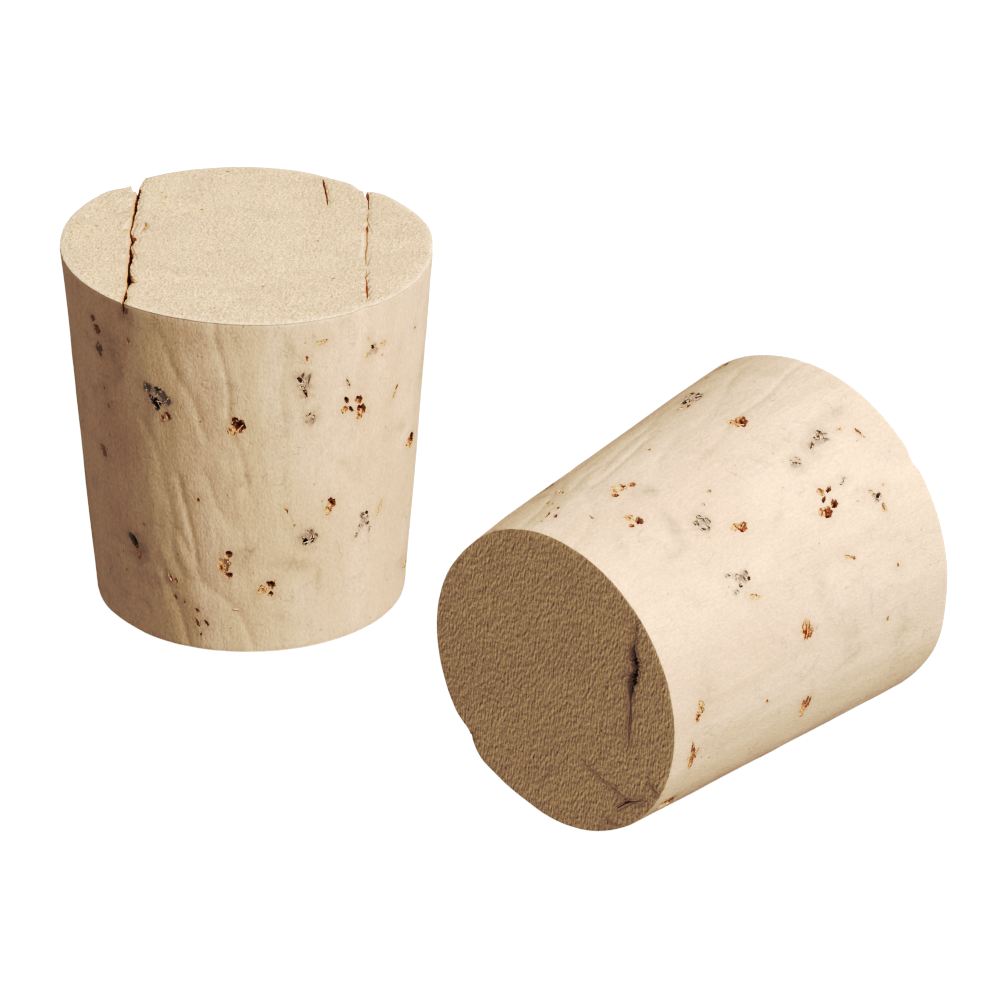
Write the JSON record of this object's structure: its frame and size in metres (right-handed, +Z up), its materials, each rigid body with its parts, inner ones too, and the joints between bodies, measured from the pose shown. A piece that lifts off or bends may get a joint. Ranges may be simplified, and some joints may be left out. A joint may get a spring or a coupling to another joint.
{
  "type": "tapered cork stoppers",
  "caption": "Tapered natural cork stoppers with pores and cracks, for the filling holes of salt and pepper shakers, standing on the small end and lying on the side.",
  "frame": {"origin": "centre of the standing cork's foot, on the surface that both corks rest on", "axes": "+Z up along the standing cork's axis; -Y is the front, from where the lying cork's small end shows at the lower left and its big end points back and to the right; +X right"},
  "size_m": [0.0511, 0.0474, 0.0225],
  "materials": {
    "cork": "raw sanded natural cork, matt cream, with red-brown pores, pale crumbs and thin cracks"
  },
  "bodies": {
    "standing_cork": {"standing_cork": "cork"},
    "lying_cork": {"lying_cork": "cork"}
  },
  "joints": [
    {"name": "lying_cork_lift", "type": "slide", "parent": "standing_cork", "child": "lying_cork", "axis": [0, 0, 1], "range_m": [0, 0.03]}
  ]
}
